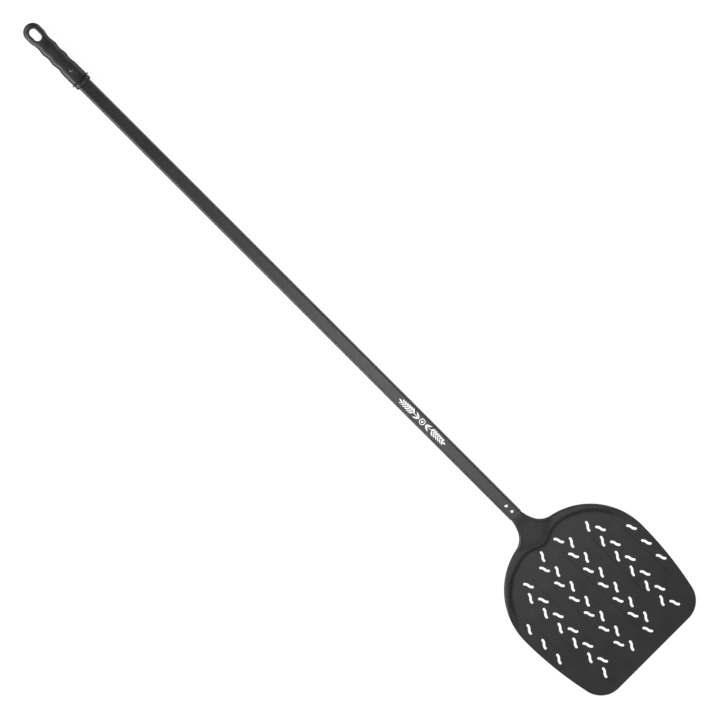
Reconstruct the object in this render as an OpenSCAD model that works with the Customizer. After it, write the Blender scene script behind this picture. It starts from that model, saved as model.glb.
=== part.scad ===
// Perforated pizza peel: a stamped blade riveted to a flat tube, with a moulded end grip.
// Millimetres. +X runs from the grip to the blade's front edge, +Y across and +Z up.
// The origin is halfway along the peel, on the surface that it lies on.

/* [Overall] */
// Whole length, from the end of the grip to the front edge of the blade
peel_l = 1934; // [1200:1:2200]
// Height of the tube's centre line above the blade's underside
axis_z = 14.5; // [14:0.1:18]

/* [Blade] */
// Width of the blade at its widest
blade_w = 360; // [350:1:370]
// Thickness of the sheet
sheet_t = 1.5; // [1.2:0.1:1.8]
// Distance from the front edge back to the widest point
widest_back = 216; // [210:1:222]
// Distance from the front edge back to the end of the tube
seam_back = 425; // [420:1:430]
// Radius of the round shoulders
shoulder_r = 159; // [155:1:165]
// Radius of the long, nearly straight sides
side_r = 807; // [780:1:1000]
// Radius of the front corners
corner_r = 55; // [45:1:60]
// Length of the thinned strip behind the front edge
bevel_l = 10; // [5:0.5:15]
// Thickness left at the front edge
edge_t = 0.6; // [0.5:0.1:1]

/* [Raised rim and neck] */
// Distance from the front edge back to the tip of the fold
fold_back = 333.5; // [330:0.5:336]
// Height of the rim's top above the table
crest_z = 7; // [5:0.5:8]
// Width of the slope from the flat plate up to the rim
rise_w = 8; // [7:0.5:10]
// Width of the rim round the shoulders
rim_w = 16; // [14:0.5:18]
// Distance over which the neck comes down from the tube to the rim
neck_run = 90; // [80:1:100]
// Length of the tongue inside the tube
tongue_l = 50; // [40:1:60]
// Length of the small step where the neck comes up flush with the tube
step_l = 3; // [2:0.5:4]

/* [Ribs] */
// Spacing of the five stiffening ribs
rib_pitch = 66.4; // [66:0.1:67]
// Height of a rib
rib_h = 0.4; // [0.3:0.1:1]
// Sideways shift of the whole pattern of ribs and slots
pattern_y = 2.6; // [0:0.1:3]

/* [Slots] */
// Length of a slot from end to end
slot_l = 24.5; // [20:0.5:26]
// Width of a slot
slot_w = 5.5; // [4:0.1:6]
// Angle between a slot and the peel's length
slot_tilt = 25.3; // [20:0.1:30]
// Distance between slots in a row
slot_pitch = 45.75; // [45:0.05:46]
// Distance from the front edge back to the first slots
slot_back = 320.2; // [320:0.1:321]

/* [Handle tube] */
// Width of the tube
tube_w = 31; // [30:0.5:32]
// Height of the tube
tube_h = 15; // [14:0.5:16]
// Wall of the tube
tube_wall = 1.2; // [1:0.1:1.5]
// Outside corner radius of the tube
tube_r = 6; // [4:0.5:6.5]

/* [Rivets] */
// Diameter of a rivet's shank
rivet_d = 4; // [3:0.1:4.8]
// Diameter of a rivet's head
rivet_head_d = 6.4; // [6:0.1:8]
// Distance from the tube's end to the front rivet
rivet_back = 12.7; // [10:0.1:15]
// Distance between the two rivets
rivet_gap = 17.3; // [15:0.1:20]

/* [Grip] */
// Length of the grip
grip_l = 180; // [175:1:190]
// Height of the grip's body
grip_h = 24; // [22:0.5:25]
// Length of the hanging hole
eye_l = 32; // [28:0.5:34]
// Width of the hanging hole
eye_w = 17.5; // [15:0.5:20]
// Plastic between the hanging hole and the end of the grip
eye_rim = 13; // [11:0.5:14]
// Distance from the grip's end to the fixing screw
screw_at = 140; // [130:1:150]

/* [Hidden] */

front_x = peel_l / 2;
end_x = -peel_l / 2;
tube_top = axis_z + tube_h / 2;
tube_end_x = front_x - seam_back;
fit_gap = 0.1;
// Longer than the peel is high, for holes right through it.
through = 40;

function share(x) = min(max(x, 0), 1);
function smooth(x) = let (c = share(x)) c * c * (3 - 2 * c);
function mix(a, b, t) = a + (b - a) * t;
function turn(a) = [cos(a), sin(a)];
function flip(points) = [for (k = [len(points) - 1:-1:0]) [points[k][0], -points[k][1]]];
function bezier(p, t) = pow(1 - t, 3) * p[0] + 3 * pow(1 - t, 2) * t * p[1]
    + 3 * (1 - t) * t * t * p[2] + pow(t, 3) * p[3];

// ---- Blade, seen from above. x counts from the front edge, and the back is negative.

// The neck's side leaves the tube's end at this half width and angle, and runs so far before it bends.
neck_y = 14.9;
neck_a = 9;
neck_pull = 27;
neck_start = [step_l - seam_back, neck_y];
// The shoulder arc takes over from the neck at this angle round its centre, after a second pull.
shoulder_a = 168;
shoulder_pull = 24;
shoulder_c = [-widest_back, blade_w / 2 - shoulder_r];
side_c = [-widest_back, blade_w / 2 - side_r];
// The corner arc touches the front edge and the inside of the side arc.
corner_c = [-corner_r, side_c[1] + sqrt(pow(side_r - corner_r, 2) - pow(widest_back - corner_r, 2))];
corner_a = atan2(corner_c[1] - side_c[1], corner_c[0] - side_c[0]);

shoulder_start = shoulder_c + shoulder_r * turn(shoulder_a);
neck_curve = [
    neck_start,
    neck_start + neck_pull * turn(neck_a),
    shoulder_start - shoulder_pull * turn(shoulder_a - 90),
    shoulder_start
];

// The fold between the plate and the raised rim: a pointed tip, then a line inside the shoulder.
// The rim comes up from nothing over rim_fade_a, and widens towards the neck from rim_wide_a on.
rim_end_a = 102;
rim_fade_a = 26;
rim_wide_a = 128;
rim_extra = 9;
function fold_w(a) = rim_w
    + rim_extra * pow(max(0, (a - rim_wide_a) / (shoulder_a - rim_wide_a)), 1.2);
function fold_at(a) = shoulder_c + (shoulder_r - fold_w(a)) * turn(a);
tip_curve = [
    [-fold_back, 0],
    [-fold_back - 1, 19],
    fold_at(shoulder_a) - [0.9, 22],
    fold_at(shoulder_a)
];

// The raised part is a mesh of spokes, each running from the centre line or the fold out to the edge.
// A spoke is [inner point, outer point, share of the neck passed, height share].
step_n = 4;
neck_n = 16;
throat_n = 11;
shoulder_n = 24;
tip_share = 0.7;
tongue_y = tube_w / 2 - tube_wall - fit_gap;
spokes = concat(
    [[[-seam_back - tongue_l, 0], [-seam_back - tongue_l, tongue_y], 0, 1]],
    [for (k = [0:step_n]) let (s = k / step_n, x = s * step_l - seam_back)
        [[x, 0], [x, mix(tongue_y, neck_y, smooth(s))], 0, 1]],
    [for (k = [1:neck_n]) let (s = 1 - pow(1 - k / neck_n, 1.6), t = tip_share * s)
        [[mix(neck_start[0], -fold_back, s), 0], bezier(neck_curve, t), t, 1]],
    [for (k = [1:throat_n]) let (s = k / throat_n, t = mix(tip_share, 1, s))
        [bezier(tip_curve, s), bezier(neck_curve, t), t, 1]],
    [for (k = [1:shoulder_n]) let (a = mix(shoulder_a, rim_end_a, k / shoulder_n))
        [fold_at(a), shoulder_c + shoulder_r * turn(a), 1, share((a - rim_end_a) / rim_fade_a)]]
);
tip_i = 1 + step_n + neck_n;
last_i = len(spokes) - 1;

// Across a spoke there are steps up to the lip, closer together near the fold, then steps round the
// lip's bend, and one for its straight edge.
top_n = 9;
crowding = 1.3;
bend_n = 5;
last_j = top_n + bend_n + 1;
bend_r = 5;
tongue_z = tube_top - tube_wall - fit_gap;
rim_bend_a = 50;
// Below its bend the lip is this long. Inside the tube it ends above the tube's lower corners.
lip_edge = 2.5;

// Height of the upper surface, with the fold left out: flush with the tube, then down to the rim.
// Away from the middle it comes down sooner: at dome_y it is down 1.4 times as fast.
dome_y = 40;
function crown(p) = let (past = p[0] + seam_back)
    past < step_l
    ? mix(tongue_z, tube_top, smooth(past / step_l))
    : mix(tube_top, crest_z, smooth((past - step_l) * sqrt(1 + pow(p[1] / dome_y, 2)) / neck_run));
// Distance from a point to the nearest stretch of the fold.
function from_line(p, a, b) = let (t = (p - a) * (b - a) / ((b - a) * (b - a)))
    norm(p - a - (b - a) * share(t));
function from_fold(p) = min([for (i = [tip_i:last_i - 1]) from_line(p, spokes[i][0], spokes[i + 1][0])]);
// The sheet turns up sharply at the fold and levels out at the rim.
function top_z(s, p) = sheet_t + (crown(p) - sheet_t) * s[3] * sin(90 * share(from_fold(p) / rise_w));
function bend_a(s) = mix(90, rim_bend_a, smooth(s[2])) * s[3];

// A point of the upper surface, on spoke i at step j.
function top_point(i, j) =
    let (
        s = spokes[i],
        out = (s[1] - s[0]) / norm(s[1] - s[0]),
        a = bend_a(s),
        lip = s[1] - out * (bend_r * sin(a) + lip_edge * cos(a)),
        inside = mix(s[0], lip, pow(share(j / top_n), crowding)),
        z = top_z(s, inside),
        b = a * share((j - top_n) / bend_n)
    )
    j <= top_n ? [inside[0], inside[1], z]
    : j < last_j ? [each (lip + out * bend_r * sin(b)), z - bend_r * (1 - cos(b))]
    : [each s[1], z - bend_r * (1 - cos(a)) - lip_edge * sin(a)];

function on_plate(i, j) = (j == 0 && i >= tip_i) || i == last_i;
function across(i, j) = cross(
    top_point(min(i + 1, last_i), j) - top_point(max(i - 1, 0), j),
    top_point(i, min(j + 1, last_j)) - top_point(i, max(j - 1, 0)));
// The sheet's direction of thickness. Over the short step it stays square to the peel's length.
function up(i, j) =
    let (n = across(i, j), m = [i <= step_n + 1 ? 0 : n[0], j == 0 ? 0 : n[1], n[2]])
    on_plate(i, j) ? [0, 0, 1] : m / norm(m);
// The lower surface lies one sheet thickness under the upper one.
function low_point(i, j) = top_point(i, j) - sheet_t * up(i, j);

row = last_j + 1;
half = (last_i + 1) * row;
// Vertex number: side 0 or 1, level 0 above or 1 below. Both sides share the centre line.
function at(side, level, i, j) = ((j == 0 && i <= tip_i ? 0 : side) * 2 + level) * half + i * row + j;
function quad(a, b, c, d, over) = over ? [[a, b, c], [a, c, d]] : [[c, b, a], [d, c, a]];

module raised_sheet() {
    sides = [0, 1];
    points = concat(
        [for (i = [0:last_i], j = [0:last_j]) top_point(i, j)],
        [for (i = [0:last_i], j = [0:last_j]) low_point(i, j)],
        [for (i = [0:last_i], j = [0:last_j]) let (p = top_point(i, j)) [p[0], -p[1], p[2]]],
        [for (i = [0:last_i], j = [0:last_j]) let (p = low_point(i, j)) [p[0], -p[1], p[2]]]
    );
    skins = [for (s = sides, l = [0, 1], i = [0:last_i - 1], j = [0:last_j - 1])
        each quad(at(s, l, i, j), at(s, l, i, j + 1), at(s, l, i + 1, j + 1), at(s, l, i + 1, j), s == l)];
    edges = [for (s = sides, i = [0:last_i - 1])
        each quad(at(s, 0, i, last_j), at(s, 1, i, last_j), at(s, 1, i + 1, last_j), at(s, 0, i + 1, last_j),
            s == 0)];
    folds = [for (s = sides, i = [tip_i:last_i - 1])
        each quad(at(s, 0, i, 0), at(s, 1, i, 0), at(s, 1, i + 1, 0), at(s, 0, i + 1, 0), s == 1)];
    ends = [for (s = sides, i = [0, last_i], j = [0:last_j - 1])
        each quad(at(s, 0, i, j), at(s, 1, i, j), at(s, 1, i, j + 1), at(s, 0, i, j + 1),
            (s == 0) == (i == 0))];
    polyhedron(points = points, faces = concat(skins, edges, folds, ends), convexity = 8);
}

module plate_outline() {
    side = concat(
        [for (i = [tip_i:last_i]) spokes[i][0]],
        [for (k = [0:4]) shoulder_c + shoulder_r * turn(mix(rim_end_a, 90, k / 4))],
        [for (k = [1:9]) side_c + side_r * turn(mix(90, corner_a, k / 9))],
        [for (k = [1:16]) corner_c + corner_r * turn(mix(corner_a, 0, k / 16))]
    );
    tipless = [for (k = [1:len(side) - 1]) side[k]];
    polygon(concat(side, flip(tipless)));
}

// Slots lie in ten columns along the blade, in pairs. From the middle outwards, each column has a
// first place in half pitches, a number of slots and a direction of tilt.
SLOT_COLUMNS = [[0, 7, 1], [1, 6, -1], [1, 6, -1], [2, 6, 1], [4, 3, 1]];
pair_gap = rib_pitch / 4;
function column_y(c) = rib_pitch * (floor(c / 2) + 0.5) + pair_gap / 2 * (c % 2 == 0 ? -1 : 1);

// A slot is a short wave, cut with a round tool.
wave_h = 1;
wave_l = slot_l - slot_w;
function wave(t) = [wave_l * (t - 0.5), -wave_h * sin(360 * (t - 0.5))];
function wave_a(t) = atan2(-wave_h * 2 * PI * cos(360 * (t - 0.5)), wave_l);

module slot_shape() {
    steps = 8;
    tool = slot_w / 2;
    upper = [for (k = [0:steps]) wave(k / steps) + tool * turn(wave_a(k / steps) + 90)];
    lower = [for (k = [steps:-1:0]) wave(k / steps) + tool * turn(wave_a(k / steps) - 90)];
    nose = [for (a = [60:-30:-60]) wave(1) + tool * turn(wave_a(1) + a)];
    tail = [for (a = [-120:-30:-240]) wave(0) + tool * turn(wave_a(0) + a)];
    polygon(concat(upper, nose, lower, tail));
}

module slots() {
    for (c = [0:len(SLOT_COLUMNS) - 1], side = [1, -1], k = [0:SLOT_COLUMNS[c][1] - 1])
        translate([
            (SLOT_COLUMNS[c][0] / 2 + k) * slot_pitch - slot_back,
            pattern_y + side * column_y(c)
        ])
            rotate(side * SLOT_COLUMNS[c][2] * slot_tilt)
                slot_shape();
}

// Ribs run along the blade: the middle one is the longest. Each is [start, end] behind the front edge.
RIB_SPANS = [[321, 26], [288, 57], [262, 85]];
rib_top = 19;
rib_flank = 5;

module rib_bars(lift) {
    for (k = [-2:2])
        translate([-RIB_SPANS[abs(k)][0], pattern_y + k * rib_pitch, lift])
            rotate([90, 0, 90])
                linear_extrude(RIB_SPANS[abs(k)][0] - RIB_SPANS[abs(k)][1])
                    polygon([
                        [-rib_top / 2 - rib_flank, 0],
                        [rib_top / 2 + rib_flank, 0],
                        [rib_top / 2, rib_h],
                        [-rib_top / 2, rib_h]
                    ]);
}

module front_bevel() {
    strip_w = 250;
    translate([-bevel_l, -strip_w / 2, sheet_t])
        rotate([0, atan2(sheet_t - edge_t, bevel_l), 0])
            cube([bevel_l * 1.2, strip_w, sheet_t]);
}

module rivet_places() {
    for (k = [0, 1])
        translate([tube_end_x - rivet_back - k * rivet_gap, 0, 0])
            children();
}

module blade() {
    color("#343434")
        difference() {
            translate([front_x, 0, 0])
                difference() {
                    union() {
                        raised_sheet();
                        linear_extrude(sheet_t)
                            difference() {
                                plate_outline();
                                slots();
                            }
                        rib_bars(sheet_t);
                    }
                    rib_bars(0);
                    front_bevel();
                }
            rivet_places()
                cylinder(h = through, d = rivet_d + fit_gap, $fn = 48);
        }
}

// ---- Handle tube

module rounded_section(w, h, r) {
    square([w - 2 * r, h], center = true);
    square([w, h - 2 * r], center = true);
    for (x = [-1, 1], y = [-1, 1])
        translate([x * (w / 2 - r), y * (h / 2 - r)])
            circle(r = r, $fn = 64);
}

module along_x(from_x, to_x) {
    translate([from_x, 0, axis_z])
        rotate([90, 0, 90])
            linear_extrude(to_x - from_x)
                children();
}

// The tube reaches into the grip and stops short of the hanging hole.
tube_start_x = end_x + 62;
screw_x = end_x + screw_at;
screw_d = 4;

module handle_tube() {
    color("#4a4a4a")
        difference() {
            along_x(tube_start_x, tube_end_x)
                rounded_section(tube_w, tube_h, tube_r);
            along_x(tube_start_x - 1, tube_end_x + 1)
                rounded_section(tube_w - 2 * tube_wall, tube_h - 2 * tube_wall, tube_r - tube_wall);
            rivet_places()
                cylinder(h = through, d = rivet_d + fit_gap, $fn = 48);
            translate([screw_x, 0, axis_z])
                cylinder(h = through / 2, d = screw_d + fit_gap, $fn = 48);
        }
}

// ---- Rivets, solid, through both walls of the tube

module rivet_head() {
    head_h = 1.3;
    dome_r = (pow(rivet_head_d / 2, 2) + pow(head_h, 2)) / (2 * head_h);
    intersection() {
        translate([0, 0, head_h - dome_r])
            sphere(r = dome_r, $fn = 64);
        cylinder(h = head_h + 1, d = rivet_head_d, $fn = 64);
    }
}

module rivet(x) {
    color("#d8d8d8")
        translate([x, 0, axis_z]) {
            cylinder(h = tube_h, d = rivet_d, center = true, $fn = 48);
            for (flip_a = [0, 180])
                rotate([flip_a, 0, 0])
                    translate([0, 0, tube_h / 2])
                        rivet_head();
        }
}

module rivet_front() {
    rivet(tube_end_x - rivet_back);
}

module rivet_rear() {
    rivet(tube_end_x - rivet_back - rivet_gap);
}

// ---- Grip. Its sections are rounded boxes, and d counts from the end with the hanging hole.

eye_half_w = 21;
eye_half_h = 9;
body_half_w = 19.6;
wave_from = 51;
wave_to = 133;
finger_pitch = 31;
finger_depth = 1.8;
flange_d = 166;
flange_t = 2.6;
flange_half_w = 23.5;
collar_d = 170;
body_half_h = grip_h / 2;
end_round = 21;
// The nose is this high beside the part behind it, and round over this length.
nose_share = 0.35;
nose_l = 6;
// The flat end narrows to the finger waves from this station on, and thickens over swell_l.
narrow_from = 33;
swell_from = 36;
swell_l = 30;
// Depth of the groove between the flange and the collar, and the chamfer at the collar's end.
groove = 1;
chamfer = 1.5;

function finger_w(d) = body_half_w - finger_depth / 2 * (1 - cos(360 * (d - wave_to) / finger_pitch));
function round_end(d, r) = sqrt(max(0.02, 1 - pow(max(0, (r - d) / r), 2)));
function grip_half_w(d) = d < wave_from
    ? mix(eye_half_w, finger_w(wave_from), smooth((d - narrow_from) / (wave_from - narrow_from)))
        * round_end(d, end_round)
    : d < wave_to ? finger_w(d) : body_half_w;
function grip_half_h(d) = mix(eye_half_h, body_half_h, smooth((d - swell_from) / swell_l))
    * mix(nose_share, 1, round_end(d, nose_l));

// Stations are [d, half width, half height].
grip_stations = concat(
    [for (k = [0:8]) let (d = end_round * pow(k / 8, 1.7)) [d, grip_half_w(d), grip_half_h(d)]],
    [for (d = [end_round + 3:3:flange_d - 1]) [d, grip_half_w(d), grip_half_h(d)]],
    [
        [flange_d, body_half_w, body_half_h],
        [flange_d + 0.4, flange_half_w, axis_z],
        [flange_d + flange_t, flange_half_w, axis_z],
        [flange_d + flange_t + 0.2, body_half_w - groove, body_half_h - groove],
        [collar_d, body_half_w - groove, body_half_h - groove],
        [collar_d + 0.3, body_half_w, body_half_h],
        [grip_l - chamfer, body_half_w, body_half_h],
        [grip_l, body_half_w - chamfer, body_half_h - chamfer]
    ]
);

module grip_body() {
    ring_n = 32;
    squareness = 2 / 2.5;
    last = len(grip_stations) - 1;
    function bulge(v) = sign(v) * pow(abs(v), squareness);
    points = [for (s = grip_stations, k = [0:ring_n - 1]) let (a = 360 * k / ring_n)
        [end_x + s[0], s[1] * bulge(cos(a)), axis_z + s[2] * bulge(sin(a))]];
    skin = [for (i = [0:last - 1], k = [0:ring_n - 1]) let (m = (k + 1) % ring_n)
        each [
            [i * ring_n + k, (i + 1) * ring_n + k, i * ring_n + m],
            [i * ring_n + m, (i + 1) * ring_n + k, (i + 1) * ring_n + m]
        ]];
    first_cap = [[for (k = [0:ring_n - 1]) k]];
    last_cap = [[for (k = [ring_n - 1:-1:0]) last * ring_n + k]];
    polyhedron(points = points, faces = concat(skin, first_cap, last_cap), convexity = 6);
}

module hanging_hole() {
    r = eye_w / 2;
    from_x = end_x + eye_rim + r;
    to_x = end_x + eye_rim + eye_l - r;
    translate([from_x, -r, -1])
        cube([to_x - from_x, eye_w, through]);
    for (x = [from_x, to_x])
        translate([x, 0, -1])
            cylinder(h = through, r = r, $fn = 64);
}

// The screw's head sits in a shallow flat seat on top of the grip.
seat_z = axis_z + grip_h / 2 - 0.9;
screw_head_d = 7;
screw_head_h = 2.2;

module grip() {
    color("#2c2c2c")
        difference() {
            grip_body();
            hanging_hole();
            along_x(tube_start_x - fit_gap, end_x + grip_l + 1)
                rounded_section(tube_w + 2 * fit_gap, tube_h + 2 * fit_gap, tube_r + fit_gap);
            translate([screw_x, 0, axis_z])
                cylinder(h = through / 2, d = screw_d + fit_gap, $fn = 48);
            translate([screw_x, 0, seat_z])
                cylinder(h = through / 2, d = screw_head_d + 1, $fn = 64);
        }
}

module grip_screw() {
    slot_depth = 1.2;
    cross_l = 4.2;
    cross_w = 0.9;
    below_wall = 1.5;
    top_round = 0.7;
    shank_l = seat_z - tube_top + tube_wall + below_wall;
    color("#3a3a3a")
        translate([screw_x, 0, seat_z])
            difference() {
                union() {
                    translate([0, 0, -shank_l])
                        cylinder(h = shank_l, d = screw_d, $fn = 48);
                    cylinder(h = screw_head_h - top_round, d = screw_head_d, $fn = 64);
                    translate([0, 0, screw_head_h - top_round])
                        cylinder(h = top_round, d1 = screw_head_d, d2 = screw_head_d - 1.8, $fn = 64);
                }
                for (a = [0, 90])
                    rotate(a)
                        translate([-cross_l / 2, -cross_w / 2, screw_head_h - slot_depth])
                            cube([cross_l, cross_w, slot_depth + 1]);
            }
}

blade();
handle_tube();
rivet_front();
rivet_rear();
grip();
grip_screw();
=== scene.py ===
"""Looks of the perforated pizza peel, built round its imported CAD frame. Shapes are in millimetres."""

import math

import bmesh
import bpy
import numpy as np
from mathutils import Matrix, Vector
from mathutils.geometry import delaunay_2d_cdt
from mathutils.kdtree import KDTree

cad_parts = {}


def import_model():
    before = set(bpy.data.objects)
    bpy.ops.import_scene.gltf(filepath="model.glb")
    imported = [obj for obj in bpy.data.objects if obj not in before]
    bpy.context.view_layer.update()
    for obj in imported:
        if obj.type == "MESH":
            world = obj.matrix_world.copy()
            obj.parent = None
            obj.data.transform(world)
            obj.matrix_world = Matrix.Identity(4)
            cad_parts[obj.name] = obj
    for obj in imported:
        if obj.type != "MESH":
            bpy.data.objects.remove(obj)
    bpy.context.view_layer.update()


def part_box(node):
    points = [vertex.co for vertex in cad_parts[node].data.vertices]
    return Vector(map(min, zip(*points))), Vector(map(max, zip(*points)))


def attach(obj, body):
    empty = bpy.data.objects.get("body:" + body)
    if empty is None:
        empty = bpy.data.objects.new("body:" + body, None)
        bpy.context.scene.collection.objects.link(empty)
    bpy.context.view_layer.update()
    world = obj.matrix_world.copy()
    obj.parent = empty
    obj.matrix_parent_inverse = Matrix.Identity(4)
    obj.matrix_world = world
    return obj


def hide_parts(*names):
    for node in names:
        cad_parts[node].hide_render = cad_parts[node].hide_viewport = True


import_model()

MM = 0.001


def box_mm(node):
    """A CAD node's lowest and highest corner, in millimetres."""
    lo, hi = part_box(node)
    return np.array(lo) / MM, np.array(hi) / MM


def middle_x(node):
    """The middle of a CAD node along the peel."""
    lo, hi = box_mm(node)
    return (lo[0] + hi[0]) / 2


# ---- Places and sizes that the frame gives

blade_lo, blade_hi = box_mm("blade")
tube_lo, tube_hi = box_mm("handle_tube")
grip_lo, grip_hi = box_mm("grip")
screw_lo, screw_hi = box_mm("grip_screw")

FRONT_X = blade_hi[0]
BLADE_HALF_W = blade_hi[1]
SEAM_BACK = FRONT_X - tube_hi[0]
TONGUE_L = tube_hi[0] - blade_lo[0]
TUBE_HALF_W = tube_hi[1]
TUBE_HALF_H = (tube_hi[2] - tube_lo[2]) / 2
AXIS_Z = (tube_hi[2] + tube_lo[2]) / 2
TUBE_TOP = tube_hi[2]
GRIP_END = grip_lo[0]
GRIP_L = grip_hi[0] - grip_lo[0]
SCREW_X = (screw_lo[0] + screw_hi[0]) / 2

# ---- Sizes of the blade, as in the CAD source. x counts from the front edge, and the back is negative.

SHEET_T = 1.5
EDGE_R = 0.2
WIDEST_BACK = 216
SHOULDER_R = 159
SIDE_R = 807
CORNER_R = 55
BEVEL_L = 10
BEVEL_DEPTH = 0.9
BEVEL_HALF_W = 125
FOLD_BACK = 333.5
CREST_Z = 7
RISE_W = 8
FOOT_W = 2.5
RIM_W = 16
NECK_RUN = 90
STEP_L = 3
NECK_Y = 14.9
NECK_A = 9
NECK_PULL = 27
SHOULDER_A = 168
SHOULDER_PULL = 24
RIM_END_A = 102
RIM_FADE_A = 26
RIM_WIDE_A = 128
RIM_EXTRA = 9
TIP_SHARE = 0.7
TIP_PULL = np.array([-1, 19])
THROAT_PULL = np.array([0.9, 22])
DOME_Y = 45
BEND_R = 5
RIM_BEND_A = 50
LIP_EDGE = 2.5
TUBE_WALL = 1.2
FIT_GAP = 0.1
TONGUE_Y = TUBE_HALF_W - TUBE_WALL - FIT_GAP
TONGUE_Z = TUBE_TOP - TUBE_WALL - FIT_GAP

RIB_PITCH = 66.4
RIB_H = 0.4
RIB_TOP = 19
RIB_FLANK = 5
RIB_RUN = 30
RIB_SPANS = [(321, 26), (288, 57), (262, 85)]
PATTERN_Y = 2.6

SLOT_L = 24.5
SLOT_W = 5.5
SLOT_TILT = 25.3
SLOT_PITCH = 45.75
SLOT_BACK = 320.2
SLOT_COLUMNS = [(0, 7, 1), (1, 6, -1), (1, 6, -1), (2, 6, 1), (4, 3, 1)]
WAVE_H = 1
RIVET_HOLE_R = 2.05
RIVETS = ("rivet_front", "rivet_rear")

# How closely the blade's mesh follows its plan

GRID_BACK = 340
GRID_STEP = 3.4
RIB_STEP = 3.2
GAP_STEP = 3.12
FRONT_ROWS = [-11, -10, -9, -7.2, -5.4, -3.6, -1.8]
STRIP_END_ROWS = [121, 122.5, 124, 125.5, 127]
FOLD_INSETS = (0.9, 1.8, 2.8, 4.2, 6)
SPOKE_ROWS = 14
ROW_GAP = 0.45
RING_NEAR = 0.3
RING_FAR = 1.6
CORE_INSET = 1.5
MIRROR = np.array([1, -1])


# ---- Small functions

def share(x):
    return np.clip(x, 0.0, 1.0)


def smooth(x):
    c = share(x)
    return c * c * (3 - 2 * c)


def ease(x, ramp=0.3):
    """A straight climb from 0 to 1 with short soft ends."""
    x = share(x)
    start = x * x / (2 * ramp * (1 - ramp))
    end = 1 - (1 - x) ** 2 / (2 * ramp * (1 - ramp))
    return np.where(x < ramp, start, np.where(x > 1 - ramp, end, (x - ramp / 2) / (1 - ramp)))


def mix(a, b, t):
    return a + (b - a) * t


def turn(degrees):
    a = math.radians(degrees)
    return np.array([math.cos(a), math.sin(a)])


def bezier(p, t):
    return (1 - t) ** 3 * p[0] + 3 * (1 - t) ** 2 * t * p[1] + 3 * (1 - t) * t * t * p[2] + t ** 3 * p[3]


def mesh_piece(name, points, faces, material, slot, smooth_angle=40):
    """A closed mesh from points in millimetres, shaded smooth up to an angle, that rides on the one body."""
    mesh = bpy.data.meshes.new(name)
    mesh.from_pydata((np.asarray(points, float) * MM).tolist(), [], faces)
    mesh.validate()
    work = bmesh.new()
    work.from_mesh(mesh)
    bmesh.ops.recalc_face_normals(work, faces=work.faces)
    work.to_mesh(mesh)
    work.free()
    piece = bpy.data.objects.new(name, mesh)
    bpy.context.scene.collection.objects.link(piece)
    mesh.shade_smooth()
    mesh.set_sharp_from_angle(angle=math.radians(smooth_angle))
    mesh.materials.append(material)
    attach(piece, "root")
    return piece


# ---- Blade, seen from above

shoulder_c = np.array([-WIDEST_BACK, BLADE_HALF_W - SHOULDER_R])
side_c = np.array([-WIDEST_BACK, BLADE_HALF_W - SIDE_R])
corner_rise = math.sqrt((SIDE_R - CORNER_R) ** 2 - (WIDEST_BACK - CORNER_R) ** 2)
corner_c = np.array([-CORNER_R, side_c[1] + corner_rise])
corner_a = math.degrees(math.atan2(*(corner_c - side_c)[::-1]))

neck_start = np.array([STEP_L - SEAM_BACK, NECK_Y])
shoulder_start = shoulder_c + SHOULDER_R * turn(SHOULDER_A)
neck_curve = [
    neck_start,
    neck_start + NECK_PULL * turn(NECK_A),
    shoulder_start - SHOULDER_PULL * turn(SHOULDER_A - 90),
    shoulder_start,
]


def fold_at(a):
    widening = max(0, (a - RIM_WIDE_A) / (SHOULDER_A - RIM_WIDE_A)) ** 1.2
    return shoulder_c + (SHOULDER_R - RIM_W - RIM_EXTRA * widening) * turn(a)


tip_curve = [
    np.array([-FOLD_BACK, 0.0]),
    np.array([-FOLD_BACK, 0.0]) + TIP_PULL,
    fold_at(SHOULDER_A) - THROAT_PULL,
    fold_at(SHOULDER_A),
]


def blade_spokes(step_n=6, neck_n=44, throat_n=26, shoulder_n=64):
    """Lines across the raised part, each with its inner point, outer point and shares of neck and height."""
    tongue_x = EDGE_R - SEAM_BACK - TONGUE_L
    spokes = []
    for k in range(9):
        x = mix(tongue_x, -SEAM_BACK, k / 9)
        spokes.append((np.array([x, 0.0]), np.array([x, TONGUE_Y]), 0.0, 1.0))
    for k in range(step_n + 1):
        x = k / step_n * STEP_L - SEAM_BACK
        outer = np.array([x, mix(TONGUE_Y, NECK_Y, smooth(k / step_n))])
        spokes.append((np.array([x, 0.0]), outer, 0.0, 1.0))
    for k in range(1, neck_n + 1):
        s = 1 - (1 - k / neck_n) ** 1.3
        t = TIP_SHARE * s
        inner = np.array([mix(neck_start[0], -FOLD_BACK, s), 0.0])
        spokes.append((inner, bezier(neck_curve, t), t, 1.0))
    for k in range(1, throat_n + 1):
        t = mix(TIP_SHARE, 1, k / throat_n)
        spokes.append((bezier(tip_curve, k / throat_n), bezier(neck_curve, t), t, 1.0))
    for k in range(1, shoulder_n + 1):
        a = mix(SHOULDER_A, RIM_END_A, k / shoulder_n)
        lift = float(smooth((a - RIM_END_A) / RIM_FADE_A))
        spokes.append((fold_at(a), shoulder_c + SHOULDER_R * turn(a), 1.0, lift))
    return spokes


def fold_line(n=40):
    """The fold on the side where y is positive, from its tip to the end of the rim."""
    tip = [bezier(tip_curve, k / n) for k in range(n + 1)]
    rim = [fold_at(mix(SHOULDER_A, RIM_END_A, k / n)) for k in range(1, n + 1)]
    return np.array(tip + rim)


def mirrored(points):
    """The same points on the other side, in reverse order."""
    return np.array(points)[::-1] * MIRROR


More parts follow.
